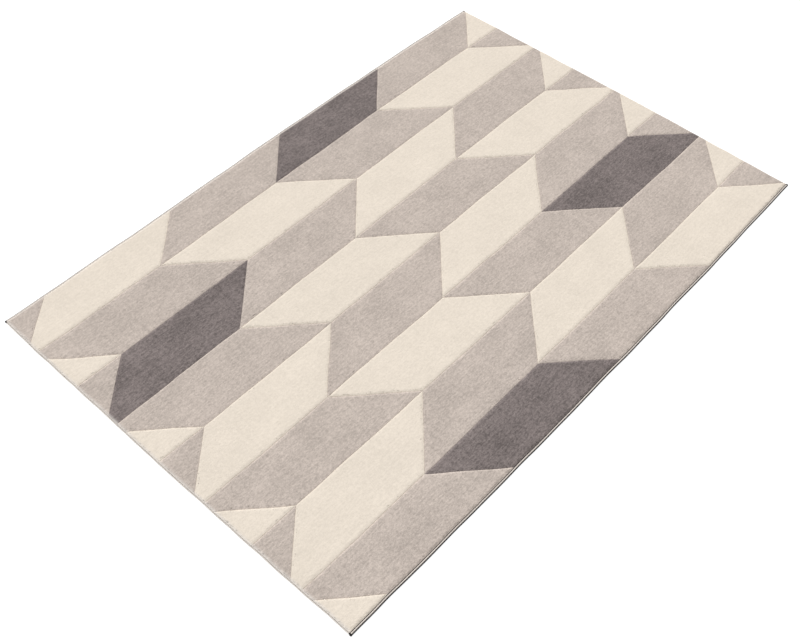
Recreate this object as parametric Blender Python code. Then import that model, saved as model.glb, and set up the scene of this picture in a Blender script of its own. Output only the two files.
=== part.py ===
"""Machine-woven area rug with a carved chevron pattern, in metres, +Z up.

The rug lies flat on the floor at z = 0, with its centre at x = y = 0. Its length runs
along Y, its width along X. From the floor up it is built as a real one is:

    latex coat on the back, ground weave, cut pile sheared level and carved,
    a filler cord down each long side, overlocked with a light yarn above and a dark one below,
    a folded binding tape on each short end, and a blank label on the back.

The pile is in fields, one for each colour area of the pattern. A groove is carved
along the line where two fields meet. Column a is at -X, and row 1 is at +Y.
"""

import math

import bmesh
import bpy
from mathutils import Matrix, Vector

# Overall size, serging and bindings included.
RUG_WIDTH = 1.55
RUG_LENGTH = 2.30

# Layers, from the floor up.
COAT_THICKNESS = 0.0012
GROUND_THICKNESS = 0.0018
PILE_HEIGHT = 0.0075

# Clearance between two pieces that touch.
SEAT_GAP = 0.0003

# Serging on the long sides. The two yarns meet on the outer shoulder of the roll.
ROLL_TO_PILE = 0.0012
CORD_RADIUS = 0.0018
CORD_INSET = 0.0020
CORD_SIDES = 16
SERGING_THICKNESS = 0.0012
SERGING_TURN = 0.0050
SERGING_MEETING_ANGLE = math.radians(45)
UPPER_ARC_STEPS = 8
LOWER_ARC_STEPS = 8

# Binding tape on the short ends.
BINDING_THICKNESS = 0.0010
BINDING_LIP = 0.0022
HEM_TURN = 0.0220
BINDING_ROUND = 0.0007

# Carved pattern: straight columns, crossed by zigzag lines that repeat along the length.
# It fills the rug, so the outermost column lines and the last valley lie past its edge.
COLUMNS = "abcdefgh"
COLUMN_OVERHANG = 0.013
ZIGZAG_LINES = 5
ZIGZAG_RISE = 0.216
FIRST_VALLEY_INSET = 0.192
LAST_VALLEY_OVERHANG = 0.043
CARVE_RADIUS = 0.0045
CARVE_SEGMENTS = 2

# Colour fields of the third, darkest yarn. The rest alternate between the other two.
DARK_FIELDS = ("a3", "f2", "h4", "c5")

# Label on the back, in the corner at +X, -Y.
LABEL_WIDTH = 0.060
LABEL_LENGTH = 0.040
LABEL_THICKNESS = 0.0005
LABEL_INSET = 0.110

# Levels and outlines that follow from the sizes above.
BACK_LAYER = max(COAT_THICKNESS, SERGING_THICKNESS)
COAT_BOTTOM = BACK_LAYER - COAT_THICKNESS
GROUND_BOTTOM = BACK_LAYER + SEAT_GAP
GROUND_TOP = GROUND_BOTTOM + GROUND_THICKNESS
PILE_BOTTOM = GROUND_TOP + SEAT_GAP
PILE_TOP = PILE_BOTTOM + PILE_HEIGHT
ROLL_BORE = CORD_RADIUS + SEAT_GAP
ROLL_RADIUS = ROLL_BORE + SERGING_THICKNESS
END_BAND = SEAT_GAP + BINDING_LIP + BINDING_THICKNESS
PILE_HALF_WIDTH = RUG_WIDTH / 2 - 2 * ROLL_RADIUS - ROLL_TO_PILE
PILE_HALF_LENGTH = RUG_LENGTH / 2 - END_BAND
ROLL_X = RUG_WIDTH / 2 - ROLL_RADIUS
ROLL_Z = ROLL_RADIUS
SELVEDGE_X = ROLL_X - ROLL_BORE
GROUND_HALF_LENGTH = RUG_LENGTH / 2 - BINDING_THICKNESS - SEAT_GAP
COAT_HALF_WIDTH = PILE_HALF_WIDTH - SERGING_TURN - SEAT_GAP
COAT_HALF_LENGTH = PILE_HALF_LENGTH - HEM_TURN - SEAT_GAP
COLUMN_PITCH = (RUG_WIDTH + 2 * COLUMN_OVERHANG) / len(COLUMNS)
VALLEY_RUN = RUG_LENGTH - FIRST_VALLEY_INSET + LAST_VALLEY_OVERHANG
REPEAT_LENGTH = VALLEY_RUN / (ZIGZAG_LINES - 1)

# Colour, roughness and metallic value of each material.
MATERIALS = {
    "pile_cream": ((0.82, 0.74, 0.63), 0.95, 0.0),
    "pile_taupe": ((0.56, 0.49, 0.43), 0.95, 0.0),
    "pile_charcoal": ((0.21, 0.18, 0.17), 0.95, 0.0),
    "ground_yarn": ((0.62, 0.53, 0.40), 0.90, 0.0),
    "latex": ((0.70, 0.66, 0.58), 0.75, 0.0),
    "filler_cord": ((0.66, 0.60, 0.52), 0.90, 0.0),
    "serging_light_yarn": ((0.74, 0.70, 0.65), 0.80, 0.0),
    "serging_dark_yarn": ((0.06, 0.05, 0.045), 0.85, 0.0),
    "binding_tape": ((0.84, 0.79, 0.71), 0.80, 0.0),
    "label_cloth": ((0.90, 0.89, 0.86), 0.70, 0.0),
}


def clear_scene():
    """Remove every object, so that the model starts from an empty scene."""
    for found in list(bpy.data.objects):
        bpy.data.objects.remove(found, do_unlink=True)


def make_materials():
    """One Principled material for each entry in MATERIALS."""
    made = {}
    for name, (colour, roughness, metallic) in MATERIALS.items():
        material = bpy.data.materials.new(name)
        material.use_nodes = True
        shader = material.node_tree.nodes["Principled BSDF"]
        shader.inputs["Base Color"].default_value = (*colour, 1.0)
        shader.inputs["Roughness"].default_value = roughness
        shader.inputs["Metallic"].default_value = metallic
        material.diffuse_color = (*colour, 1.0)
        made[name] = material
    return made


def add_object(name, shape, material, location=(0.0, 0.0, 0.0)):
    """Turn a bmesh into a named object with its faces pointing out."""
    bmesh.ops.recalc_face_normals(shape, faces=shape.faces)
    mesh = bpy.data.meshes.new(name)
    shape.to_mesh(mesh)
    shape.free()
    mesh.materials.append(material)
    made = bpy.data.objects.new(name, mesh)
    made.location = location
    bpy.context.scene.collection.objects.link(made)
    return made


def slab(size_x, size_y, size_z):
    """A box with its base on z = 0, centred in x and y."""
    shape = bmesh.new()
    bmesh.ops.create_cube(shape, size=1.0)
    bmesh.ops.translate(shape, verts=shape.verts, vec=(0.0, 0.0, 0.5))
    bmesh.ops.scale(shape, verts=shape.verts, vec=(size_x, size_y, size_z))
    return shape


def prism(outline, start, end):
    """Extrude a closed outline of 3D points from offset start to offset end."""
    shape = bmesh.new()
    corners = [shape.verts.new(Vector(point) + start) for point in outline]
    base = shape.faces.new(corners)
    grown = bmesh.ops.extrude_face_region(shape, geom=[base])
    moved = [item for item in grown["geom"] if isinstance(item, bmesh.types.BMVert)]
    bmesh.ops.translate(shape, verts=moved, vec=end - start)
    return shape


def cut(target, cutter):
    """Cut one shape out of another, and keep the cutter as a hidden guide."""
    cutter.hide_render = True
    cutter.display_type = "WIRE"
    modifier = target.modifiers.new("cut_" + cutter.name, "BOOLEAN")
    modifier.operation = "DIFFERENCE"
    modifier.object = cutter


# Backing


def make_ground_weave(materials):
    """The woven foundation, which runs out into the serging and the bindings."""
    shape = slab(2 * SELVEDGE_X, 2 * GROUND_HALF_LENGTH, GROUND_THICKNESS)
    place = (0.0, 0.0, GROUND_BOTTOM)
    add_object("ground_weave", shape, materials["ground_yarn"], place)


def make_latex_coat(materials):
    """The coat that locks the tufts. It stops at the serging and at the turned hems."""
    shape = slab(2 * COAT_HALF_WIDTH, 2 * COAT_HALF_LENGTH, COAT_THICKNESS)
    coat = add_object("latex_coat", shape, materials["latex"], (0.0, 0.0, COAT_BOTTOM))
    clearance = 2 * SEAT_GAP
    pocket = slab(LABEL_WIDTH + clearance, LABEL_LENGTH + clearance, 2 * (LABEL_THICKNESS + SEAT_GAP))
    bmesh.ops.translate(pocket, verts=pocket.verts, vec=(0.0, 0.0, -LABEL_THICKNESS - SEAT_GAP))
    cut(coat, add_object("label_recess", pocket, materials["latex"], label_place()))


def label_place():
    """Centre of the label's underside, in from the +X side and the -Y end."""
    return (RUG_WIDTH / 2 - LABEL_INSET, LABEL_INSET - RUG_LENGTH / 2, COAT_BOTTOM)


def make_label(materials):
    """The blank label, bedded flush in the coat."""
    shape = slab(LABEL_WIDTH, LABEL_LENGTH, LABEL_THICKNESS)
    add_object("care_label", shape, materials["label_cloth"], label_place())


# Pile fields


def boundary_x(boundary):
    """X of a column boundary. Boundary 0 is at the -X side, and the middle one is at x = 0."""
    return (boundary - len(COLUMNS) / 2) * COLUMN_PITCH


def zigzag_y(boundary, line):
    """Y of a zigzag line at a boundary: a peak at even boundaries, a valley at odd ones."""
    valley = RUG_LENGTH / 2 - FIRST_VALLEY_INSET - line * REPEAT_LENGTH
    return valley + (ZIGZAG_RISE if boundary % 2 == 0 else 0.0)


def keep_side(outline, point, normal):
    """Clip a convex outline to the side of a line that its normal points to."""
    kept = []
    for here, there in zip(outline, outline[1:] + outline[:1]):
        here_side = (here - point).dot(normal)
        there_side = (there - point).dot(normal)
        if here_side >= 0:
            kept.append(here)
        if here_side * there_side < 0:
            kept.append(here.lerp(there, here_side / (here_side - there_side)))
    return kept


def field_outline(column, row):
    """Outline of one colour field, half a seat gap in from the lines that bound it."""
    half_gap = SEAT_GAP / 2
    outline = [
        Vector((-PILE_HALF_WIDTH, -PILE_HALF_LENGTH)),
        Vector((PILE_HALF_WIDTH, -PILE_HALF_LENGTH)),
        Vector((PILE_HALF_WIDTH, PILE_HALF_LENGTH)),
        Vector((-PILE_HALF_WIDTH, PILE_HALF_LENGTH)),
    ]
    sides = []
    if column > 0:
        sides.append((Vector((boundary_x(column), 0.0)), Vector((1.0, 0.0))))
    if column < len(COLUMNS) - 1:
        sides.append((Vector((boundary_x(column + 1), 0.0)), Vector((-1.0, 0.0))))
    for line, facing in ((row - 1, -1.0), (row, 1.0)):
        if not 0 <= line < ZIGZAG_LINES:
            continue
        start = Vector((boundary_x(column), zigzag_y(column, line)))
        end = Vector((boundary_x(column + 1), zigzag_y(column + 1, line)))
        along = (end - start).normalized()
        sides.append((start, Vector((-along.y, along.x)) * facing))
    for point, normal in sides:
        outline = keep_side(outline, point + normal * half_gap, normal)
    return outline


def carved_field(outline):
    """A block of cut pile on an outline, with its top edges carved round."""
    flat = [(corner.x, corner.y, 0.0) for corner in outline]
    shape = prism(flat, Vector((0.0, 0.0, PILE_BOTTOM)), Vector((0.0, 0.0, PILE_TOP)))
    middle = (PILE_BOTTOM + PILE_TOP) / 2
    top_edges = [edge for edge in shape.edges if min(v.co.z for v in edge.verts) > middle]
    bmesh.ops.bevel(
        shape,
        geom=top_edges,
        offset=CARVE_RADIUS,
        offset_type="OFFSET",
        segments=CARVE_SEGMENTS,
        profile=0.5,
        affect="EDGES",
        clamp_overlap=True,
    )
    return shape


def field_colour(name, column, row):
    """Dark for the accent fields. The rest are cream or taupe, like a chessboard."""
    if name in DARK_FIELDS:
        return "pile_charcoal"
    return "pile_cream" if (column + row) % 2 == 0 else "pile_taupe"


def make_pile(materials):
    """One field for each place where a column and a row of the pattern cross."""
    for column, letter in enumerate(COLUMNS):
        for row in range(ZIGZAG_LINES + 1):
            outline = field_outline(column, row)
            if not outline:
                continue
            name = f"{letter}{row + 1}"
            colour = field_colour(name, column, row)
            add_object("pile_" + name, carved_field(outline), materials[colour])


# Edges


def arc(radius, start, end, steps):
    """Points on an arc round the roll's centre, in the XZ plane, from one angle to another."""
    angles = [start + (end - start) * step / steps for step in range(steps + 1)]
    return [(ROLL_X + radius * math.cos(a), 0.0, ROLL_Z + radius * math.sin(a)) for a in angles]


def angle_at_height(radius, z):
    """Angle of the point on the roll's inner side that lies at a height."""
    return math.pi - math.asin((z - ROLL_Z) / radius)


def upper_serging_outline():
    """Section of the upper yarn at +X, from the pile over the top of the roll."""
    foot_z = GROUND_TOP + SEAT_GAP
    start = SERGING_MEETING_ANGLE + SEAT_GAP / ROLL_RADIUS
    return [
        *arc(ROLL_RADIUS, start, angle_at_height(ROLL_RADIUS, foot_z), UPPER_ARC_STEPS),
        *arc(ROLL_BORE, angle_at_height(ROLL_BORE, foot_z), start, UPPER_ARC_STEPS),
    ]


def lower_serging_outline():
    """Section of the lower yarn at +X, from the shoulder of the roll to the back of the weave."""
    turn_x = PILE_HALF_WIDTH - SERGING_TURN
    floor = -math.pi / 2
    return [
        (turn_x, 0.0, 0.0),
        *arc(ROLL_RADIUS, floor, SERGING_MEETING_ANGLE, LOWER_ARC_STEPS),
        *arc(ROLL_BORE, SERGING_MEETING_ANGLE, floor, LOWER_ARC_STEPS),
        (turn_x, 0.0, SERGING_THICKNESS),
    ]


def add_side_run(name, outline, sign, material):
    """One run of yarn down a whole long side. A sign of -1 mirrors it to the -X side."""
    reach = Vector((0.0, RUG_LENGTH / 2, 0.0))
    mirrored = [(sign * x, y, z) for x, y, z in outline]
    made = add_object(name, prism(mirrored, -reach, reach), material)
    smooth_rounds(made)
    return made


def clear_hems(lower, side, sign):
    """Stop the turned yarn short of the hem at both ends, which lies on the back there."""
    turn_width = SERGING_TURN + SEAT_GAP
    hem_length = END_BAND + HEM_TURN + SEAT_GAP
    for end, end_sign in (("near", -1.0), ("far", 1.0)):
        corner = slab(2 * turn_width, 2 * hem_length, 2 * SERGING_THICKNESS)
        bmesh.ops.translate(corner, verts=corner.verts, vec=(0.0, 0.0, -SERGING_THICKNESS / 2))
        place = (sign * (PILE_HALF_WIDTH + SEAT_GAP - turn_width), end_sign * RUG_LENGTH / 2, 0.0)
        cut(lower, add_object(f"hem_corner_{end}_{side}", corner, lower.data.materials[0], place))


def make_side_edges(materials):
    """Filler cord and the two overlocked yarns down both long sides."""
    for side, sign in (("left", -1.0), ("right", 1.0)):
        light, dark = materials["serging_light_yarn"], materials["serging_dark_yarn"]
        add_side_run("serging_upper_" + side, upper_serging_outline(), sign, light)
        lower = add_side_run("serging_lower_" + side, lower_serging_outline(), sign, dark)
        clear_hems(lower, side, sign)

        cord = bmesh.new()
        bmesh.ops.create_cone(
            cord,
            cap_ends=True,
            segments=CORD_SIDES,
            radius1=CORD_RADIUS,
            radius2=CORD_RADIUS,
            depth=RUG_LENGTH - 2 * CORD_INSET,
            matrix=Matrix.Rotation(math.pi / 2, 4, "X"),
        )
        place = (sign * ROLL_X, 0.0, ROLL_Z)
        made = add_object("side_cord_" + side, cord, materials["filler_cord"], place)
        smooth_rounds(made)


def binding_outline():
    """Section of the binding at +Y: tape folded round the end of the weave."""
    outer = RUG_LENGTH / 2
    inner = outer - BINDING_THICKNESS
    top = GROUND_TOP + SEAT_GAP + BINDING_THICKNESS
    hem = PILE_HALF_LENGTH - HEM_TURN
    edge = PILE_HALF_LENGTH + SEAT_GAP
    return [
        (0.0, hem, 0.0),
        (0.0, outer - BINDING_ROUND, 0.0),
        (0.0, outer, BINDING_ROUND),
        (0.0, outer, top - BINDING_ROUND),
        (0.0, outer - BINDING_ROUND, top),
        (0.0, edge, top),
        (0.0, edge, GROUND_TOP + SEAT_GAP),
        (0.0, inner, GROUND_TOP + SEAT_GAP),
        (0.0, inner, BACK_LAYER),
        (0.0, hem, BACK_LAYER),
    ]


def make_end_bindings(materials):
    """Folded tape across both short ends, between the two sergings."""
    for end, sign in (("near", -1.0), ("far", 1.0)):
        reach = Vector((PILE_HALF_WIDTH, 0.0, 0.0))
        mirrored = [(x, sign * y, z) for x, y, z in binding_outline()]
        binding = prism(mirrored, -reach, reach)
        add_object("end_binding_" + end, binding, materials["binding_tape"])


def smooth_rounds(made):
    """Shade a turned or rounded piece smooth, with its real corners kept sharp."""
    made.data.shade_smooth()
    made.data.set_sharp_from_angle(angle=math.radians(40))


def main():
    clear_scene()
    materials = make_materials()
    make_latex_coat(materials)
    make_label(materials)
    make_ground_weave(materials)
    make_pile(materials)
    make_side_edges(materials)
    make_end_bindings(materials)


main()
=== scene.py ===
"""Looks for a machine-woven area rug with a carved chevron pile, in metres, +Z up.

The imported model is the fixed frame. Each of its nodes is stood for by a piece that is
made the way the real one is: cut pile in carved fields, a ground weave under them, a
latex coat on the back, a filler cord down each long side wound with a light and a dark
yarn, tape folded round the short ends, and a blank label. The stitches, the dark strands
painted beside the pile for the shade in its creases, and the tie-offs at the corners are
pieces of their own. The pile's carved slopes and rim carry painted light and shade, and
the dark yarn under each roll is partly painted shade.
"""

from __future__ import annotations

import logging
import math
from collections.abc import Sequence
from dataclasses import dataclass, field
from enum import Enum

import bmesh
import bpy
import numpy as np
from mathutils import Matrix, Vector


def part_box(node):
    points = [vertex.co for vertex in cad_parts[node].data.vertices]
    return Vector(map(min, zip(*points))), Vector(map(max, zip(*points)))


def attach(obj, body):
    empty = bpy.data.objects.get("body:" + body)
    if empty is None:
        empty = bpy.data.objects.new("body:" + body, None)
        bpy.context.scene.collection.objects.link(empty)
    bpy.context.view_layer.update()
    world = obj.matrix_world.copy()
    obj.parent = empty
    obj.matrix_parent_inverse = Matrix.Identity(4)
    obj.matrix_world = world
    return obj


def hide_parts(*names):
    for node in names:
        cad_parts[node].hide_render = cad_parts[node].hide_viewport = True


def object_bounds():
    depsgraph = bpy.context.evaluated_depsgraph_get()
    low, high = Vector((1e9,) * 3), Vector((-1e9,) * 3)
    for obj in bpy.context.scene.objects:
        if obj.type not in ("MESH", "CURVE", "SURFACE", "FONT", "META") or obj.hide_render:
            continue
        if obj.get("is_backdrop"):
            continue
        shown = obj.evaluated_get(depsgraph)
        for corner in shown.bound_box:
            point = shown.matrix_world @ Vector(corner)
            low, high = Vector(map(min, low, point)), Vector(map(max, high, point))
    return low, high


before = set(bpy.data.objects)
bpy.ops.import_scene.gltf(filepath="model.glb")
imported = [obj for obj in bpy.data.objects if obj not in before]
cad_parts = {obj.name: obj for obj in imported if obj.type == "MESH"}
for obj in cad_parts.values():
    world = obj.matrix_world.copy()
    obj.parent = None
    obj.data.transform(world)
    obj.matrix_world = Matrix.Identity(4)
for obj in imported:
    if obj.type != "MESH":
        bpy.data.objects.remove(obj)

LOG = logging.getLogger("rug")
MM = 0.001
Colour = tuple[float, float, float]
Points = np.ndarray


# ---- Shader maths ----


def tinted(colour: Colour, share: float) -> Colour:
    """A colour made lighter or darker by a share."""
    return tuple(min(1.0, part * share) for part in colour)


class Value:
    """A float socket that takes part in Python arithmetic by adding Math nodes."""

    def __init__(self, bench: "Bench", socket: bpy.types.NodeSocket) -> None:
        """Wrap a socket of the bench's node tree."""
        self.bench = bench
        self.socket = socket

    def _math(self, operation: str, first: "Value | float", second: "Value | float") -> "Value":
        """Add one Math node, and return its result."""
        node = self.bench.node("ShaderNodeMath", {"operation": operation}, {0: first, 1: second})
        return Value(self.bench, node.outputs[0])

    def __add__(self, other: "Value | float") -> "Value":
        """Return self + other."""
        return self._math("ADD", self, other)

    def __mul__(self, other: "Value | float") -> "Value":
        """Return self * other."""
        return self._math("MULTIPLY", self, other)

    def __gt__(self, other: "Value | float") -> "Value":
        """Return 1 where self is greater than other, else 0."""
        return self._math("GREATER_THAN", self, other)

    __radd__ = __add__
    __rmul__ = __mul__


class Bench:
    """One material under construction: its node tree and the helpers that fill it."""

    def __init__(self, name: str) -> None:
        """Start a material with a Principled shader wired to its output.

        Args:
            name: The material's name.
        """
        self.material = bpy.data.materials.new(name)
        self.material.use_nodes = True
        self.tree = self.material.node_tree
        self.tree.nodes.clear()
        self.shader = self.node("ShaderNodeBsdfPrincipled")
        output = self.node("ShaderNodeOutputMaterial")
        self.tree.links.new(self.shader.outputs["BSDF"], output.inputs["Surface"])
        self.place = self.node("ShaderNodeTexCoord").outputs["Object"]

    def node(
        self,
        kind: str,
        settings: dict[str, object] | None = None,
        inputs: dict[str | int, object] | None = None,
    ) -> bpy.types.Node:
        """Add a node, set it up, then fill its sockets.

        Args:
            kind: The node's type name.
            settings: Its own properties, which are set first.
            inputs: Values or links for its sockets, by name or number.

        Returns:
            The node.
        """
        made = self.tree.nodes.new(kind)
        for key, value in (settings or {}).items():
            setattr(made, key, value)
        for key, value in (inputs or {}).items():
            self.feed(made.inputs[key], value)
        return made

    def feed(self, socket: bpy.types.NodeSocket, value: object) -> None:
        """Link a socket to a value's socket, or set the plain value on it.

        Args:
            socket: The socket to fill.
            value: A value, another socket, or something plain.
        """
        source = value.socket if isinstance(value, Value) else value
        if isinstance(source, bpy.types.NodeSocket):
            self.tree.links.new(source, socket)
        else:
            socket.default_value = source

    def stretched(self, scale: Sequence[float], turn: float = 0.0) -> bpy.types.NodeSocket:
        """Object coordinates turned about Z, then scaled by an amount for each axis.

        Args:
            scale: How many pattern cells fit in a metre, along each axis.
            turn: Angle about Z, in radians.

        Returns:
            The vector socket.
        """
        mapping = self.node(
            "ShaderNodeMapping",
            {"vector_type": "POINT"},
            {"Vector": self.place, "Rotation": (0.0, 0.0, turn), "Scale": tuple(scale)},
        )
        return mapping.outputs[0]

    def noise(self, scale: Sequence[float], detail: float = 2.0, rough: float = 0.5) -> Value:
        """Smooth noise from 0 to 1 on object coordinates.

        Args:
            scale: Cells in a metre along each axis.
            detail: Octaves.
            rough: How strong the finer octaves are.

        Returns:
            The noise as a value.
        """
        texture = self.node(
            "ShaderNodeTexNoise",
            {"noise_dimensions": "3D"},
            {"Vector": self.stretched(scale), "Scale": 1.0, "Detail": detail, "Roughness": rough},
        )
        return Value(self, texture.outputs[0])

    def per_cell(self, scale: Sequence[float]) -> Value:
        """A random value from 0 to 1 for each Voronoi cell, on object coordinates.

        Args:
            scale: Cells in a metre along each axis.

        Returns:
            The cell's value.
        """
        texture = self.node(
            "ShaderNodeTexVoronoi",
            {"voronoi_dimensions": "3D"},
            {"Vector": self.stretched(scale), "Scale": 1.0},
        )
        return Value(self, texture.outputs["Color"])

    def bands(self, scale: float, axis: str, turn: float, bend: float) -> Value:
        """Evenly spaced soft ribs across an axis.

        Args:
            scale: Ribs in a metre.
            axis: The axis they follow one another along.
            turn: Angle about Z, in radians.
            bend: How much the ribs wander.

        Returns:
            A value that swings from 0 to 1 once for each rib.
        """
        texture = self.node(
            "ShaderNodeTexWave",
            {"wave_type": "BANDS", "bands_direction": axis, "wave_profile": "SIN"},
            {
                "Vector": self.stretched((1.0, 1.0, 1.0), turn),
                "Scale": scale * math.tau / 20.0,
                "Distortion": bend,
                "Detail": 1.0,
            },
        )
        return Value(self, texture.outputs[0])

    def ramp(self, value: Value, stops: Sequence[tuple[float, float]]) -> Value:
        """Reshape a value from 0 to 1.

        Args:
            value: The value.
            stops: Positions from 0 to 1, each with the level it turns into.

        Returns:
            The reshaped value.
        """
        made = self.node("ShaderNodeValToRGB", None, {"Fac": value})
        points = made.color_ramp.elements
        while len(points) < len(stops):
            points.new(0.5)
        for point, (position, level) in zip(points, stops):
            point.position = position
            point.color = (level, level, level, 1.0)
        return Value(self, made.outputs["Color"])

    def attribute(self, name: str) -> Value:
        """A float attribute of the mesh."""
        made = self.node("ShaderNodeAttribute", {"attribute_name": name})
        return Value(self, made.outputs["Fac"])

    def mix(self, share: Value | float, first: object, second: object) -> bpy.types.NodeSocket:
        """Blend two colours, each a tuple or a colour socket.

        Args:
            share: 0 for the first colour, 1 for the second.
            first: The first colour.
            second: The second colour.

        Returns:
            The colour socket.
        """
        full = [(*c, 1.0) if isinstance(c, tuple) else c for c in (first, second)]
        made = self.node(
            "ShaderNodeMix",
            {"data_type": "RGBA", "clamp_factor": True},
            {0: share, 6: full[0], 7: full[1]},
        )
        return made.outputs[2]

    def varied(
        self, share: Value, colour: Colour, spread: float, light: float = 1.0
    ) -> bpy.types.NodeSocket:
        """A colour that varies from a duller to a brighter shade of itself.

        Args:
            share: 0 for the dull shade, 1 for the bright one.
            colour: The colour half-way between them.
            spread: How much duller and brighter they are, as a share.
            light: How light the whole is, as a share.

        Returns:
            The colour socket.
        """
        dull = tinted(colour, (1 - spread) * light)
        bright = tinted(colour, (1 + spread) * light)
        return self.mix(share, dull, bright)

    def bump(self, height: Value, depth: float, strength: float) -> bpy.types.NodeSocket:
        """A normal from a height that swings from 0 to 1.

        Args:
            height: The height.
            depth: How far a full swing stands out, in metres.
            strength: Share of the effect.

        Returns:
            The normal socket.
        """
        made = self.node(
            "ShaderNodeBump", None, {"Strength": strength, "Distance": depth, "Height": height}
        )
        return made.outputs[0]

    def finish(self, **sockets: object) -> bpy.types.Material:
        """Feed the Principled shader's sockets, and hand the material over.

        Args:
            sockets: What each gets, under its name with _ for a space.

        Returns:
            The material.
        """
        for name, value in sockets.items():
            self.feed(self.shader.inputs[name.replace("_", " ")], value)
        return self.material


# ---- Finishes ----


@dataclass(frozen=True)
class Grain:
    """One layer of the pile's unevenness, and how much it counts for in the shade."""

    cells: tuple[float, float, float]
    detail: float
    rough: float
    weight: float


PILE_GRAIN = {
    "tips": Grain((330.0, 330.0, 330.0), 1.0, 0.6, 0.44),
    "tufts": Grain((185.0, 95.0, 150.0), 1.0, 0.5, 0.38),
    "lines": Grain((210.0, 20.0, 20.0), 2.0, 0.5, 0.24),
    "rows": Grain((2.0, 90.0, 2.0), 1.0, 0.5, 0.10),
    "nap": Grain((9.0, 6.0, 6.0), 2.0, 0.5, 0.24),
}


@dataclass(frozen=True)
class PileFinish:
    """Cut pile: soft fibre tips, seen end on, that lean in patches.

    Carved slopes carry painted light and shade: a slope facing the key light is painted a
    lighter copy of the colour, by the first share after the colour, and one facing away a
    copy painted darker for cream and lighter for the other yarns, by the second. The rug's
    rim is painted towards a pale cream, most on the ends and the left side. The balance
    brings the summed grain to a middle of a half.
    """

    name: str
    colour: Colour
    # Painted light: the shares for slopes facing towards and away from the key light.
    painted_lit_side: float
    painted_shade_side: float
    spread: float
    fleck_share: float = 0.0
    fleck: Colour = (0.35, 0.27, 0.21)
    fleck_cells: float = 300.0
    fleck_strength: float = 0.6
    # Painted light: the pale colour that the rim is painted towards, and how strongly.
    root: Colour = (0.93, 0.87, 0.81)
    painted_rim_light_strength: float = 0.8
    balance: float = 0.7118
    dullest: float = 0.39
    brightest: float = 0.61
    sheen: float = 0.15
    sheen_light: float = 1.15
    relief: float = 1.1 * MM

    def material(self) -> bpy.types.Material:
        """Build the node material.

        Returns:
            The material.
        """
        bench = Bench(self.name)
        layers = {
            name: bench.noise(grain.cells, grain.detail, grain.rough)
            for name, grain in PILE_GRAIN.items()
        }
        tips, tufts = layers["tips"], layers["tufts"]
        shade = sum(layers[name] * grain.weight for name, grain in PILE_GRAIN.items())
        share = bench.ramp(shade * self.balance, [(self.dullest, 0.0), (self.brightest, 1.0)])
        colour = bench.varied(share, self.colour, self.spread)
        if self.fleck_share > 0:
            pick = bench.per_cell((self.fleck_cells,) * 3) > 1 - self.fleck_share
            colour = bench.mix(pick * self.fleck_strength, colour, self.fleck)
        # Painted light and shade: lit and shaded copies of the colour on the carved slopes.
        for slope, light in (("painted_lit_side", self.painted_lit_side), ("painted_shade_side", self.painted_shade_side)):
            turned = bench.varied(share, self.colour, self.spread, light)
            colour = bench.mix(bench.attribute(slope), colour, turned)
        # Painted light: the rim is painted towards a pale cream.
        colour = bench.mix(bench.attribute("rim") * self.painted_rim_light_strength, colour, self.root)
        return bench.finish(
            Base_Color=colour,
            Roughness=bench.ramp(tufts, [(0.2, 0.86), (0.8, 1.0)]),
            Normal=bench.bump(tips * 0.6 + tufts * 0.4, self.relief, 0.8),
            Specular_IOR_Level=0.15,
            Sheen_Weight=self.sheen,
            Sheen_Roughness=0.45,
            Sheen_Tint=(*tinted(self.colour, self.sheen_light), 1.0),
        )


@dataclass(frozen=True)
class YarnFinish:
    """Wound sewing yarn, with the plies of its twist."""

    name: str
    colour: Colour
    spread: float = 0.12
    ply_turn: float = 0.5
    plies: float = 1400.0
    fibres: float = 900.0
    patches: float = 30.0
    relief: float = 0.35 * MM
    sheen: float = 0.15

    def material(self) -> bpy.types.Material:
        """Build the node material.

        Returns:
            The material.
        """
        bench = Bench(self.name)
        plies = bench.bands(self.plies, "Y", self.ply_turn, 2.0)
        fibre = bench.noise((self.fibres,) * 3, 2.0, 0.6)
        along = bench.noise((self.patches,) * 3, 2.0, 0.5)
        share = plies * 0.35 + fibre * 0.35 + along * 0.30
        return bench.finish(
            Base_Color=bench.varied(share, self.colour, self.spread),
            Roughness=bench.ramp(fibre, [(0.2, 0.70), (0.8, 0.90)]),
            Normal=bench.bump(plies * 0.6 + fibre * 0.4, self.relief, 0.7),
            Specular_IOR_Level=0.25,
            Sheen_Weight=self.sheen,
        )


@dataclass(frozen=True)
class WovenFinish:
    """Plain or twill weave seen from close by."""

    name: str
    colour: Colour
    threads: float
    spread: float
    turn: float = 0.0
    relief: float = 0.3 * MM
    roughness: float = 0.85
    roughness_swing: float = 0.08
    weft_share: float = 0.8
    wander: float = 0.4
    worn_patches: float = 14.0
    fibres: float = 600.0

    def material(self) -> bpy.types.Material:
        """Build the node material.

        Returns:
            The material.
        """
        bench = Bench(self.name)
        warp = bench.bands(self.threads, "X", self.turn, self.wander)
        weft = bench.bands(self.threads * self.weft_share, "Y", self.turn, self.wander)
        wear = bench.noise((self.worn_patches,) * 3, 3.0, 0.55)
        fibre = bench.noise((self.fibres,) * 3, 2.0, 0.6)
        weave = warp * 0.5 + weft * 0.5
        share = weave * 0.3 + wear * 0.4 + fibre * 0.3
        smooth, rough = self.roughness - self.roughness_swing, self.roughness + self.roughness_swing
        return bench.finish(
            Base_Color=bench.varied(share, self.colour, self.spread),
            Roughness=bench.ramp(wear, [(0.2, smooth), (0.8, rough)]),
            Normal=bench.bump(weave * 0.7 + fibre * 0.3, self.relief, 0.8),
            Specular_IOR_Level=0.25,
        )


class Yarn(Enum):
    """The three pile yarns, by the record's slot."""

    CREAM = "pile_cream"
    TAUPE = "pile_taupe"
    CHARCOAL = "pile_charcoal"


# The two numbers after each colour are painted light: the share for slopes facing the key light,
# then for those facing away.
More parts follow.
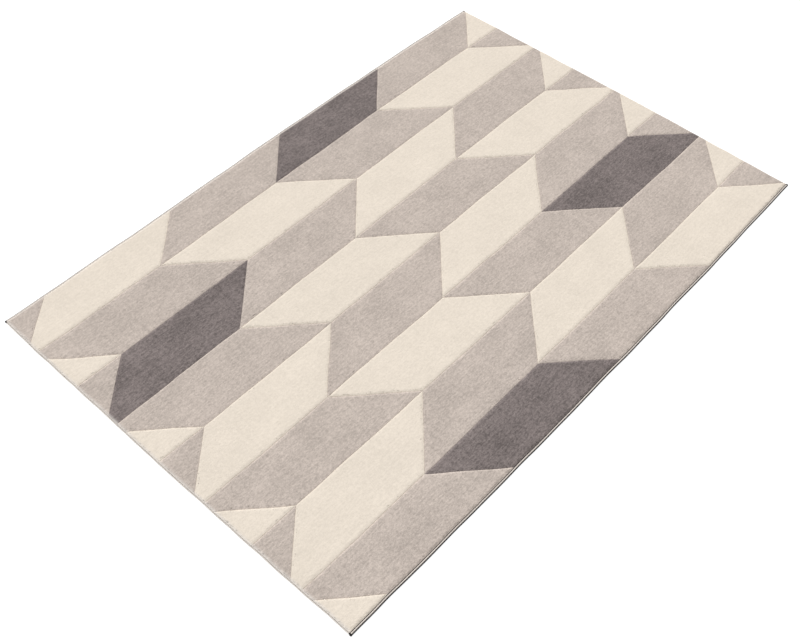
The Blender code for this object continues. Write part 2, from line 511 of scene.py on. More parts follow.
PILE_FINISHES = {
    Yarn.CREAM: PileFinish("pile_cream_yarn", (0.778, 0.696, 0.598), 1.02, 0.96, 0.080, 0.0012),
    Yarn.TAUPE: PileFinish("pile_taupe_yarn", (0.528, 0.458, 0.408), 1.22, 1.17, 0.225),
    Yarn.CHARCOAL: PileFinish("pile_charcoal_yarn", (0.199, 0.168, 0.161), 1.38, 1.22, 0.43),
}
LIGHT_YARN = YarnFinish("edge_light_yarn", (0.78, 0.71, 0.65))
# Dark yarn whose dark is partly painted shade: under the roll and in the creases beside the pile.
DARK_YARN_AND_PAINTED_SHADE = YarnFinish("edge_yarn_dark_and_painted_shade", (0.020, 0.016, 0.015), 0.25)
CORD_YARN = YarnFinish("cord_yarn", (0.62, 0.55, 0.46), 0.12, 0.9, 700.0)
STITCH_YARN = YarnFinish("stitch_yarn", (0.80, 0.75, 0.69), 0.08)
TAPE_CLOTH = WovenFinish("tape_cloth", (0.82, 0.77, 0.72), 1100.0, 0.06, 0.6)
JUTE_WEAVE = WovenFinish("jute_weave", (0.60, 0.50, 0.37), 420.0, 0.16)
LATEX_COAT = WovenFinish("latex_on_weave", (0.68, 0.62, 0.53), 260.0, 0.10, 0.0, 0.5 * MM, 0.78)
LABEL_CLOTH = WovenFinish("label_cloth_weave", (0.88, 0.87, 0.83), 2200.0, 0.03, 0.0, 0.1 * MM, 0.6)


# ---- How the rug lies ----


@dataclass
class Lay:
    """How a soft rug lies on a floor: its sides bow out, and it wanders and lifts a little.

    A side's bow is how much further out its middle lies than its ends. The left side is
    slacker towards the near end, and the right side is pushed in a little near its corner.
    Shorter waves are weaker, by the power short_waves, and the lift is full where the share
    crests of all their strengths adds up.
    """

    half_width: float
    half_length: float
    bow_left: float = 14.0 * MM
    bow_right: float = 8.0 * MM
    bow_near: float = 4.6 * MM
    bow_far: float = 7.6 * MM
    slack_left: float = 5.0 * MM
    skew_left: float = 10.0 * MM
    dent: float = 3.0 * MM
    dent_from_end: float = 0.15
    dent_length: float = 0.06
    seed: int = 7
    waves: int = 14
    shortest: float = 0.09
    longest: float = 0.6
    wander: float = 0.7 * MM
    short_waves: float = 0.45
    lift: float = 0.6 * MM
    crests: float = 0.4
    _rows: list[tuple[float, float, float, float, float]] = field(default_factory=list)

    def __post_init__(self) -> None:
        """Draw the waves, each with a direction, a length, a phase and two strengths."""
        draw = np.random.default_rng(self.seed)
        for length in np.geomspace(self.shortest, self.longest, self.waves):
            angle = draw.uniform(0.0, math.pi)
            phase = draw.uniform(0.0, math.tau)
            strength = self.wander * (length / self.longest) ** self.short_waves
            swing = draw.uniform(-math.pi, math.pi)
            number = math.tau / length
            self._rows.append(
                (number * math.cos(angle), number * math.sin(angle), phase, strength, swing)
            )

    def moved(self, points: Points) -> Points:
        """Points of a flat rug, moved to where they are on the rug as it lies.

        Args:
            points: An array of points, one a row.

        Returns:
            The moved points.
        """
        made = points.copy()
        rise = np.zeros(len(points))
        for number_x, number_y, phase, strength, swing in self._rows:
            wave = points[:, 0] * number_x + points[:, 1] * number_y + phase
            made[:, 0] += strength * math.cos(swing) * np.sin(wave)
            made[:, 1] += strength * math.sin(swing) * np.sin(wave)
            rise += np.cos(wave * 0.5) * strength
        across, along = points[:, 0] / self.half_width, points[:, 1] / self.half_length
        outward_x = self.bow_right * (1 + across) / 2 - self.bow_left * (1 - across) / 2
        outward_y = self.bow_far * (1 + along) / 2 - self.bow_near * (1 - along) / 2
        made[:, 0] += outward_x * (0.5 - along**2)
        left = (1 - across) / 2
        made[:, 0] += left * (self.slack_left - self.skew_left * along) * (1 - along**2)
        past = (points[:, 1] + self.half_length - self.dent_from_end) / self.dent_length
        made[:, 0] -= self.dent * np.clip(across, 0, 1) ** 4 * np.exp(-(past**2))
        made[:, 1] += outward_y * (0.5 - across**2)
        top = self.wander * self.waves * self.crests
        made[:, 2] += self.lift * np.clip(0.5 + 0.5 * rise / top, 0.0, 1.0)
        return made


# ---- Mesh helpers ----


def points_of(mesh: bpy.types.Mesh) -> Points:
    """Read the vertices of a mesh.

    Args:
        mesh: The mesh.

    Returns:
        An array of points, one a row.
    """
    flat = np.empty(len(mesh.vertices) * 3, np.float32)
    mesh.vertices.foreach_get("co", flat)
    return flat.reshape(-1, 3).astype(float)


def put_points(mesh: bpy.types.Mesh, points: Points) -> None:
    """Write an array of points back to a mesh."""
    mesh.vertices.foreach_set("co", points.astype(np.float32).ravel())
    mesh.update()


def to_object(
    name: str,
    shape: bmesh.types.BMesh,
    material: bpy.types.Material,
    nodes: Sequence[str],
    smooth: bool = True,
) -> bpy.types.Object:
    """Make a piece of a bmesh, hang it on the rug's root body, and hide the nodes it stands for.

    Args:
        name: The piece's name.
        shape: Its mesh, which is freed.
        material: Its finish.
        nodes: The nodes that it stands for.
        smooth: Whether it is shaded smooth.

    Returns:
        The piece.
    """
    bmesh.ops.recalc_face_normals(shape, faces=shape.faces)
    mesh = bpy.data.meshes.new(name)
    shape.to_mesh(mesh)
    shape.free()
    mesh.materials.append(material)
    if smooth:
        mesh.shade_smooth()
    made = bpy.data.objects.new(name, mesh)
    bpy.context.scene.collection.objects.link(made)
    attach(made, "root")
    if nodes:
        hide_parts(*nodes)
    return made


def settled(made: bpy.types.Object, lay: Lay, points: Points | None = None) -> bpy.types.Object:
    """Move a flat piece, or the points given for it, to where it is on the rug as it lies."""
    put_points(made.data, lay.moved(points_of(made.data) if points is None else points))
    return made


def shifted(shape: bmesh.types.BMesh, result: dict[str, list], step: Sequence[float]) -> None:
    """Move the vertices in the result of a mesh operator, which has just made them."""
    fresh = [item for item in result["geom"] if isinstance(item, bmesh.types.BMVert)]
    bmesh.ops.translate(shape, verts=fresh, vec=step)


def cut(
    shape: bmesh.types.BMesh,
    point: Sequence[float],
    normal: Sequence[float],
    snap: float = 0.0,
    clear: bool = False,
) -> None:
    """Cut a whole mesh along a plane.

    Args:
        shape: The mesh.
        point: A point on the plane.
        normal: The plane's normal.
        snap: How near the plane a vertex counts as on it.
        clear: Whether what lies on the normal's side is thrown away.
    """
    bmesh.ops.bisect_plane(
        shape, geom=[*shape.verts, *shape.edges, *shape.faces], dist=snap,
        plane_co=point, plane_no=normal, clear_outer=clear,
    )


def grid_over(
    node: str, across: int, along: int, height: float, margin: float = 0.0
) -> bmesh.types.BMesh:
    """A flat grid over a node's box.

    Args:
        node: The node.
        across: Parts along X.
        along: Parts along Y.
        height: Where it lies.
        margin: How much wider and longer than the box it is.

    Returns:
        The open mesh.
    """
    low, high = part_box(node)
    spread, centre = high - low, (low + high) / 2
    shape = bmesh.new()
    bmesh.ops.create_grid(shape, x_segments=across, y_segments=along, size=0.5)
    bmesh.ops.scale(shape, verts=shape.verts, vec=(spread.x + margin, spread.y + margin, 1.0))
    bmesh.ops.translate(shape, verts=shape.verts, vec=(centre.x, centre.y, height))
    return shape


def capped(shape: bmesh.types.BMesh) -> bmesh.types.BMesh:
    """Close every open end of a mesh."""
    bmesh.ops.holes_fill(shape, edges=[e for e in shape.edges if e.is_boundary], sides=0)
    return shape


def repeated(shape: bmesh.types.BMesh, step: Vector, count: int) -> None:
    """Repeat a whole mesh along a line by doubling it.

    Args:
        shape: The mesh, which then holds count copies.
        step: From one copy to the next.
        count: How many there are in the end.
    """
    have = 1
    per_copy = len(shape.verts)
    while have < count:
        take = min(have, count - have)
        shape.verts.ensure_lookup_table()
        verts = shape.verts[: take * per_copy]
        chosen = set(verts)
        faces = [face for face in shape.faces if face.verts[0] in chosen]
        edges = [edge for edge in shape.edges if edge.verts[0] in chosen]
        shifted(shape, bmesh.ops.duplicate(shape, geom=[*verts, *edges, *faces]), step * have)
        have += take


def swept(
    outline: Sequence[Sequence[float]], start: Vector, run: Vector, steps: int
) -> bmesh.types.BMesh:
    """A closed outline carried along a straight run in even steps, with its ends capped.

    Args:
        outline: Its corners, in order.
        start: Where the outline stands at first, added to each corner.
        run: The whole run.
        steps: How many parts the run has.

    Returns:
        The closed mesh.
    """
    shape = bmesh.new()
    corners = [shape.verts.new(Vector(corner) + start) for corner in outline]
    ring = [shape.edges.new((a, b)) for a, b in zip(corners, corners[1:] + corners[:1])]
    bmesh.ops.spin(
        shape, geom=[*corners, *ring], cent=(0, 0, 0), axis=(0, 0, 1), dvec=run / steps,
        angle=0.0, steps=steps, use_merge=False, use_duplicate=False,
    )
    return capped(shape)


# ---- Pile ----


@dataclass
class PileField:
    """One colour field of cut pile, sheared level, with its edges carved down."""

    node: str
    yarn: Yarn
    material: bpy.types.Material
    lay: Lay
    number: int
    half_size: Vector
    spacing: float = 3.3 * MM
    groove_depth: float = 2.3 * MM
    groove_half_width: float = 13.0 * MM
    short_half_width: float = 9.5 * MM
    edge_depth: float = 4.2 * MM
    edge_half_width: float = 9.0 * MM
    edge_lean: float = 0.5 * MM
    roundness: float = 2.6
    rim_fade: float = 1.4
    slope_cuts: tuple[float, ...] = (0.12, 0.3, 0.55)
    closing: float = 0.14 * MM
    # Heading of the key light, which sets the painted light on the slopes.
    key_light_heading: float = math.radians(150)
    tuft_height: float = 0.22 * MM
    tallest_tuft: float = 0.7 * MM
    carved_tufts: float = 0.35
    tuft_shift: float = 0.5 * MM
    longest_shift: float = 0.9 * MM
    still_edge: float = 1.5 * MM
    patch_height: float = 0.25 * MM

    def corners(self) -> list[Vector]:
        """Find the field's outline.

        Returns:
            The corners of the node's underside, counter-clockwise.
        """
        low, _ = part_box(self.node)
        found: list[Vector] = []
        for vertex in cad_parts[self.node].data.vertices:
            flat = Vector((vertex.co.x, vertex.co.y))
            near = any((flat - other).length < 0.1 * MM for other in found)
            if vertex.co.z < low.z + 0.1 * MM and not near:
                found.append(flat)
        middle = sum(found, Vector((0.0, 0.0))) / len(found)
        return sorted(found, key=lambda p: math.atan2(p.y - middle.y, p.x - middle.x))

    def sides(self) -> list[tuple[Vector, Vector, bool]]:
        """Find the field's sides.

        Returns:
            For each a point on it, its inward normal, and whether it is the rug's own edge.
        """
        ring = self.corners()
        made = []
        for here, there in zip(ring, ring[1:] + ring[:1]):
            along = (there - here).normalized()
            from_side = abs(abs(here.x) - self.half_size.x)
            from_end = abs(abs(here.y) - self.half_size.y)
            outer = (from_side if abs(along.x) < 0.5 else from_end) < MM
            square = abs(along.x * along.y) < 1e-4
            made.append((here, Vector((-along.y, along.x)), outer and square))
        return made

    def block(self) -> bmesh.types.BMesh:
        """Make the field as a closed block: a fine top, cut to the outline, and plain walls.

        Returns:
            The mesh, with its top at z = 1 and its bottom at z = 0.
        """
        low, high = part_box(self.node)
        parts = [max(4, round(size / self.spacing)) for size in (high - low).xy]
        shape = grid_over(self.node, *parts, 1.0, MM)
        for point, inward, _ in self.sides():
            cut(shape, (*(point - inward * self.closing), 1.0), (*-inward, 0.0), clear=True)
        for point, inward, outer in self.sides():
            reach = self.edge_half_width if outer else self.groove_half_width
            for share in self.slope_cuts:
                at = point + inward * reach * share
                cut(shape, (*at, 1.0), (*-inward, 0.0), 0.05 * MM)
        rim = [edge for edge in shape.edges if edge.is_boundary]
        shifted(shape, bmesh.ops.extrude_edge_only(shape, edges=rim), (0.0, 0.0, -1.0))
        bmesh.ops.edgeloop_fill(shape, edges=[edge for edge in shape.edges if edge.is_boundary])
        return shape

    def shaped(self, flat: Points) -> tuple[Points, dict[str, Points]]:
        """Carve the block and give its top the unevenness of cut tufts.

        Args:
            flat: The block's points.

        Returns:
            The carved points, and three strengths from 0 to 1 for each, which carry painted light:
            how far it is down a slope facing the key light, down one facing away from it, and out
            on the rug's rim.
        """
        low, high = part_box(self.node)
        draw = np.random.default_rng(100 + self.number)
        top = flat[:, 2] > 0.5
        drop, painted_lit_side, painted_shade_side, rim = np.zeros((4, len(flat)))
        inside = np.full(len(flat), 1.0)
        made = flat.copy()
        for point, inward, outer in self.sides():
            away = (flat[:, 0] - point.x) * inward.x + (flat[:, 1] - point.y) * inward.y
            # How squarely this side's slope faces the key light, for the painted light on it.
            towards = -inward.x * math.cos(self.key_light_heading) - inward.y * math.sin(self.key_light_heading)
            groove = self.short_half_width if towards > 0 else self.groove_half_width
            reach = self.edge_half_width if outer else groove
            depth = self.edge_depth if outer else self.groove_depth
            near = np.clip(1 - away / reach, 0.0, 1.0)
            drop = np.maximum(drop, depth * near**self.roundness)
            slope = near ** (self.roundness - 1)
            # Painted light and shade on each slope, by how it faces the key light.
            painted_lit_side = np.maximum(painted_lit_side, slope * max(towards, 0.0))
            painted_shade_side = np.maximum(painted_shade_side, slope * max(-towards, 0.0))
            inside = np.minimum(inside, away)
            if outer:
                lean = np.where(top & (away < 0.5 * MM), self.edge_lean, 0.0)
                made[:, 0] -= inward.x * lean
                made[:, 1] -= inward.y * lean
                # Painted light on the rim: full on the ends and the left side, none on the right.
                rim_light_weight = abs(inward.y) + max(inward.x, 0.0)
                rim = np.maximum(rim, near**self.rim_fade * min(rim_light_weight, 1.0))
        level = 1 - np.clip(drop / self.edge_depth, 0.0, 1.0)
        tall, far = self.tallest_tuft, self.longest_shift
        uneven = draw.normal(0.0, self.tuft_height, len(flat)).clip(-tall, tall)
        shift = draw.normal(0.0, self.tuft_shift, (len(flat), 2)).clip(-far, far)
        free = np.clip((inside - self.still_edge) / (2 * self.still_edge), 0.0, 1.0)
        made[:, :2] += shift * (free * top)[:, None]
        uneven *= self.carved_tufts + (1 - self.carved_tufts) * level
        height = high.z - drop + uneven + self.patches(flat)
        made[:, 2] = np.where(top, height, low.z)
        return made, {"painted_lit_side": painted_lit_side, "painted_shade_side": painted_shade_side, "rim": rim}

    def patches(self, flat: Points) -> Points:
        """Work out the slow unevenness of the sheared pile, which crosses the grooves.

        Args:
            flat: The points.

        Returns:
            How far up each one is moved.
        """
        x, y = flat[:, 0], flat[:, 1]
        made = np.sin(x * 61 + 3 * np.sin(y * 17)) + np.sin(y * 83 + 2 * np.sin(x * 29))
        return self.patch_height * 0.5 * made

    def build(self) -> bpy.types.Object:
        """Make the piece.

        Returns:
            The piece, shaped and in place.
        """
        name = self.node.replace("pile_", "pile_field_")
        made = to_object(name, self.block(), self.material, [self.node])
        points, strengths = self.shaped(points_of(made.data))
        settled(made, self.lay, points)
        for label, values in strengths.items():
            layer = made.data.attributes.new(label, "FLOAT", "POINT")
            layer.data.foreach_set("value", values.astype(np.float32))
        return made


@dataclass
class Pile:
    """All the colour fields of the pile, told apart by the slots of their nodes."""

    lay: Lay

    def build(self) -> list[bpy.types.Object]:
        """Make every field.

        Returns:
            The pieces.
        """
        names = sorted(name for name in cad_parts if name.startswith("pile_"))
        corners = np.array([[*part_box(name)[1]] for name in names])
        half = Vector((corners[:, 0].max(), corners[:, 1].max()))
        materials = {yarn: finish.material() for yarn, finish in PILE_FINISHES.items()}
        made = []
        for number, name in enumerate(names):
            yarn = Yarn(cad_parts[name].data.materials[0].name)
            field_of_pile = PileField(name, yarn, materials[yarn], self.lay, number, half)
            made.append(field_of_pile.build())
        return made


# ---- Backing ----


@dataclass(frozen=True)
class StitchRow:
    """A straight row of running stitches, half sunk in the cloth they hold."""

    start: Vector
    end: Vector
    pitch: float = 5.0 * MM
    length: float = 3.2 * MM
    radius: float = 0.42 * MM
    depth: float = 0.22 * MM

    def add_to(self, shape: bmesh.types.BMesh) -> None:
        """Add the row's stitches to a mesh.

        Args:
            shape: The mesh that gets them.
        """
        way = self.end - self.start
        count = max(int(way.length / self.pitch), 1)
        single = bmesh.new()
        turn = Matrix.Rotation(math.atan2(way.y, way.x), 4, "Z")
        size = Matrix.Diagonal((self.length / 2, self.radius, self.depth, 1.0))
        first = self.start + way / count / 2
        bmesh.ops.create_uvsphere(
            single, u_segments=6, v_segments=4, radius=1.0,
            matrix=Matrix.Translation(first) @ turn @ size,
        )
        repeated(single, way / count, count)
        mesh = bpy.data.meshes.new("stitch_row")
        single.to_mesh(mesh)
        single.free()
        shape.from_mesh(mesh)
        bpy.data.meshes.remove(mesh)


@dataclass
class Backing:
    """The ground weave, the latex coat under it and the blank label stitched into the coat."""

    lay: Lay
    across: int = 60
    along: int = 90
    weft_pitch: float = 5.0 * MM
    rib: float = 0.16 * MM
    bed_room: float = 0.3 * MM
    bed_depth: float = 0.8 * MM
    label_corner: float = 2.0 * MM
    hem: float = 2.5 * MM

    def slab(self, node: str, across: int, along: int) -> bmesh.types.BMesh:
        """Fill a node's box with a closed slab that has a fine grid on both faces.

        Args:
            node: The node.
            across: Parts along X.
            along: Parts along Y.

        Returns:
            The mesh.
        """
        low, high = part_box(node)
        shape = grid_over(node, across, along, low.z)
        grown = bmesh.ops.extrude_face_region(shape, geom=list(shape.faces))
        shifted(shape, grown, (0.0, 0.0, (high - low).z))
        return shape

    def ground(self) -> bpy.types.Object:
        """Make the woven foundation, as one cut sheet.

        Returns:
            The piece.
        """
        shape = self.slab("ground_weave", self.across, self.along)
        made = to_object(
            "foundation", shape, JUTE_WEAVE.material(), ["ground_weave"], False
        )
        return settled(made, self.lay)

    def coat(self) -> bpy.types.Object:
        """Make the latex coat, with the weft showing through in ribs, and the label's bed.

        Returns:
            The piece.
        """
        low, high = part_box("latex_coat")
        rows = round((high.y - low.y) / self.weft_pitch) * 2
        shape = self.slab("latex_coat", 24, rows)
        bed_low, bed_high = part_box("care_label")
        left, right = bed_low.x - self.bed_room, bed_high.x + self.bed_room
        near, far = bed_low.y - self.bed_room, bed_high.y + self.bed_room
        for x in (left, right):
            cut(shape, (x, 0, 0), (1, 0, 0), 0.01 * MM)
        for y in (near, far):
            cut(shape, (0, y, 0), (0, 1, 0), 0.01 * MM)
        middles = [(face, face.calc_center_median()) for face in shape.faces]
        bed = [
            face
            for face, at in middles
            if at.z < low.z + 0.1 * MM and left < at.x < right and near < at.y < far
        ]
        grown = bmesh.ops.extrude_face_region(shape, geom=bed)
        shifted(shape, grown, (0.0, 0.0, self.bed_depth))
        bmesh.ops.delete(shape, geom=bed, context="FACES_ONLY")
        made = to_object("latex_back", shape, LATEX_COAT.material(), ["latex_coat"], False)
        points = points_of(made.data)
        phase = points[:, 1] / self.weft_pitch * math.tau
        under = points[:, 2] < low.z + 0.05 * MM
        points[:, 2] += np.where(under, self.rib * (1 + np.cos(phase)) * 0.5, 0.0)
        return settled(made, self.lay, points)

    def label(self) -> bpy.types.Object:
        """Make the blank label, with rounded corners.

        Returns:
            The piece.
        """
        shape = self.slab("care_label", 12, 8)
        low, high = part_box("care_label")
        at_corner = {
            vertex
            for vertex in shape.verts
            if min(abs(vertex.co.x - low.x), abs(vertex.co.x - high.x)) < 0.01 * MM
            and min(abs(vertex.co.y - low.y), abs(vertex.co.y - high.y)) < 0.01 * MM
        }
        bmesh.ops.bevel(
            shape, geom=[edge for edge in shape.edges if at_corner.issuperset(edge.verts)],
            offset=self.label_corner, offset_type="OFFSET", segments=4, profile=0.5,
            affect="EDGES", material=-1,
        )
        made = to_object(
            "care_label_cloth", shape, LABEL_CLOTH.material(), ["care_label"], False
        )
        return settled(made, self.lay)

    def label_stitches(self) -> bpy.types.Object:
        """Make the stitches round the label's hem, on its underside.

        Returns:
            The piece.
        """
        low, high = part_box("care_label")
        left, right = low.x + self.hem, high.x - self.hem
        near, far = low.y + self.hem, high.y - self.hem
        ring = [(left, near), (right, near), (right, far), (left, far)]
        corners = [Vector((x, y, low.z)) for x, y in ring]
        shape = bmesh.new()
        for start, end in zip(corners, corners[1:] + corners[:1]):
            StitchRow(start, end, 3.0 * MM, 2.0 * MM, 0.25 * MM, 0.12 * MM).add_to(shape)
        made = to_object("label_stitches", shape, STITCH_YARN.material(), [])
        return settled(made, self.lay)


# ---- Edges ----


@dataclass
class SideEdge:
    """One long side: a filler cord, wound over with a light yarn and under with a dark one.

    A dark strand in the crease beside the pile is painted shade for that crease, and the
    last turns at both corners are dark all the way round. The dark yarn under the roll is
    partly painted shade, for the shade under the roll's outer side. The fields yarn_width,
    from_corner and tie_pitch are shares of the pitch, crease is a share of the roll's
    radius, and tie_lift is one of the yarn's thickness.
    """

    side: str
    sign: float
    lay: Lay
    pitch: float = 3.0 * MM
    light_from: float = math.radians(58)
    light_to: float = math.radians(156)
    dark_to: float = math.radians(-90)
    overlap: float = 0.04
    yarn: float = 0.62 * MM
    yarn_width: float = 0.56
    lean: float = 0.9 * MM
    bulge: float = 1.5 * MM
    squareness: float = 3.0
    from_corner: float = 0.6
    # Painted shade: the radius and height of the dark strand in the crease.
    crease_shade_radius: float = 1.0 * MM
    crease_shade_height: float = 5.7 * MM
    crease: float = 0.88
    tie_turns: int = 2
    tie_pitch: float = 0.62
    tie_lift: float = 0.4

    def roll(self) -> tuple[float, float, float, float]:
        """Measure the roll.

        Returns:
            Its centre (x, z), its outer radius, and the length of the side.
        """
        low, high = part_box("side_cord_" + self.side)
        under_low, under_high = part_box("serging_lower_" + self.side)
        x, z = (low.x + high.x) / 2, (low.z + high.z) / 2
        return x, z, z - under_low.z, under_high.y - under_low.y

    def strand(self, radius: float) -> bmesh.types.BMesh:
        """Make the section of a flat yarn, standing across the roll at an angle of 0.

        Args:
            radius: From the roll's axis to the yarn's outside.

        Returns:
            The section, an oval thin along the radius and wide along the side.
        """
        shape = bmesh.new()
        place = Matrix.Translation((radius - self.yarn, 0.0, 0.0))
        size = Matrix.Diagonal((self.yarn, self.pitch * self.yarn_width, 1.0, 1.0))
        bmesh.ops.create_circle(shape, segments=6, radius=1.0, cap_ends=False, matrix=place @ size)
        return shape

    def winding(self, start: float, end: float, steps: int, bulge: float) -> bmesh.types.BMesh:
        """Make one turn of yarn over part of the roll, with open ends.

        Args:
            start: Angle where it starts, from the outer side.
            end: Angle where it ends.
            steps: How many parts it has.
            bulge: How far it stands out past the roll at its outer side.

        Returns:
            The turn at the near end of the side.
        """
        _, _, radius, _ = self.roll()
        shape = self.strand(radius)
        bmesh.ops.rotate(
            shape, verts=shape.verts, cent=(0, 0, 0), matrix=Matrix.Rotation(-start, 3, "Y")
        )
        bmesh.ops.spin(
            shape, geom=[*shape.verts, *shape.edges], cent=(0, 0, 0), axis=(0, -1, 0),
            dvec=(0.0, self.lean / steps, 0.0), angle=end - start, steps=steps,
            use_merge=False, use_duplicate=False,
        )
        for vertex in shape.verts:
            self.squash(vertex, bulge)
        self.seat(shape, self.pitch * self.from_corner)
        return shape

    def seat(self, shape: bmesh.types.BMesh, from_corner: float) -> None:
        """Bring yarn made round the Y axis to the near end of this side's roll.

        Args:
            shape: The yarn.
            from_corner: How far from the side's end it lies.
        """
        x, z, _, length = self.roll()
        bmesh.ops.scale(shape, verts=shape.verts, vec=(self.sign, 1.0, 1.0))
        bmesh.ops.translate(shape, verts=shape.verts, vec=(x, -length / 2 + from_corner, z))

    def squash(self, vertex: bmesh.types.BMVert, bulge: float) -> None:
        """Square off the roll's underside where it rests, and push its outer side out.

        Args:
            vertex: A vertex of yarn round the Y axis.
            bulge: How far the outer side is pushed.
        """
        across, up = vertex.co.x, vertex.co.z
        reach = max(math.hypot(across, up), 1e-6)
        side, height = abs(across) / reach, abs(up) / reach
        if up < 0.0:
            grow = (side**self.squareness + height**self.squareness) ** (-1 / self.squareness)
            vertex.co.x, vertex.co.z = across * grow, up * grow
        vertex.co.x += bulge * max(across / reach, 0.0)

    def dressed(
        self,
        name: str,
        shape: bmesh.types.BMesh,
        finish: YarnFinish,
        nodes: Sequence[str] = (),
    ) -> bpy.types.Object:
        """Close the ends of this side's yarn, and place it.

        Args:
            name: The piece's name, less the side's.
            shape: Its mesh.
            finish: Its finish.
            nodes: The names, less the side's, of the nodes that it stands for.

        Returns:
            The piece.
        """
        own = [f"{node}_{self.side}" for node in nodes]
        made = to_object(f"{name}_{self.side}", capped(shape), finish.material(), own)
        return settled(made, self.lay)

    def along_side(self, turn: bmesh.types.BMesh) -> bmesh.types.BMesh:
        """Repeat a turn of yarn from the near end of the side to the far one.

        Args:
            turn: The first turn, which becomes them all.

        Returns:
            The same mesh.
        """
        _, _, _, length = self.roll()
        count = int((length - 2 * self.from_corner * self.pitch) / self.pitch)
        repeated(turn, Vector((0.0, self.pitch, 0.0)), count)
        return turn

    def upper(self) -> bpy.types.Object:
        """Make the light yarn over the top of the roll."""
        shape = self.along_side(self.winding(self.light_from, self.light_to, 6, 0.0))
        nodes = ["serging_upper"]
        return self.dressed("edge_light", shape, LIGHT_YARN, nodes)

    def lower(self) -> bpy.types.Object:
        """Make the dark yarn, round the outside and the underside of the roll.

        Returns:
            The piece.
        """
        # Partly painted shade: this yarn's dark also stands in for the shade under the roll.
        turn = self.winding(self.light_from - self.overlap, self.dark_to, 8, self.bulge)
        shape = self.along_side(turn)
        return self.dressed("edge_dark", shape, DARK_YARN_AND_PAINTED_SHADE, ["serging_lower"])

    def tie_off(self) -> bpy.types.Object:
        """Make the last turns of dark yarn, all the way round the roll at both ends.

        Returns:
            The piece.
        """
        _, z, radius, _ = self.roll()
        shape = self.strand(radius + self.tie_lift * self.yarn)
        bmesh.ops.spin(
            shape, geom=[*shape.verts, *shape.edges], cent=(0, 0, 0), axis=(0, -1, 0),
            angle=math.tau, steps=14, use_merge=True, use_duplicate=False,
        )
        for vertex in shape.verts:
            self.squash(vertex, self.bulge)
            vertex.co.z = max(vertex.co.z, -z)
        step = self.pitch * self.tie_pitch
        self.seat(shape, step * self.from_corner)
        repeated(shape, Vector((0.0, step, 0.0)), self.tie_turns)
        near = [*shape.verts, *shape.edges, *shape.faces]
        bmesh.ops.mirror(shape, geom=near, axis="Y", merge_dist=0.0)
        return self.dressed("edge_tie", shape, DARK_YARN_AND_PAINTED_SHADE)

    def round_run(
        self, node: str, centre: tuple[float, float], radius: float, corners: int, steps: int
    ) -> bmesh.types.BMesh:
        """Make a round cord or thread that runs the length of one of this side's nodes.

        Args:
            node: The node's name, less the side's.
            centre: The cord's centre (x, z).
            radius: The cord's radius.
            corners: How many corners its section has.
            steps: How many parts its run has.

        Returns:
            The closed mesh.
        """
        low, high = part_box(f"{node}_{self.side}")
        x, z = centre
        outline = [
            (x + radius * math.cos(angle), 0.0, z + radius * math.sin(angle))
            for angle in (math.tau * number / corners for number in range(corners))
        ]
        return swept(outline, Vector((0, low.y, 0)), Vector((0, high.y - low.y, 0)), steps)

    def cord(self) -> bpy.types.Object:
        """Make the filler cord in the roll.

        Returns:
            The piece.
        """
        low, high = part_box("side_cord_" + self.side)
        x, z, _, _ = self.roll()
        shape = self.round_run("side_cord", (x, z), (high.z - low.z) / 2, 12, 160)
        return self.dressed("cord", shape, CORD_YARN, ["side_cord"])

    def painted_crease_shade(self) -> bpy.types.Object:
        """Make the dark strand painted in the crease between the pile and the roll: painted shade.

        Returns:
            The piece.
        """
        pile_low, pile_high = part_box("pile_h3" if self.sign > 0 else "pile_a3")
        edge = pile_high.x if self.sign > 0 else pile_low.x
        x, _, radius, _ = self.roll()
        middle = (edge + x - self.sign * radius * self.crease) / 2
        centre = (middle, self.crease_shade_height)
        shape = self.round_run("serging_upper", centre, self.crease_shade_radius, 8, 500)
        return self.dressed("painted_crease_shade", shape, DARK_YARN_AND_PAINTED_SHADE)

    def build(self) -> list[bpy.types.Object]:
        """Make the side's pieces."""
        return [self.cord(), self.upper(), self.lower(), self.painted_crease_shade(), self.tie_off()]


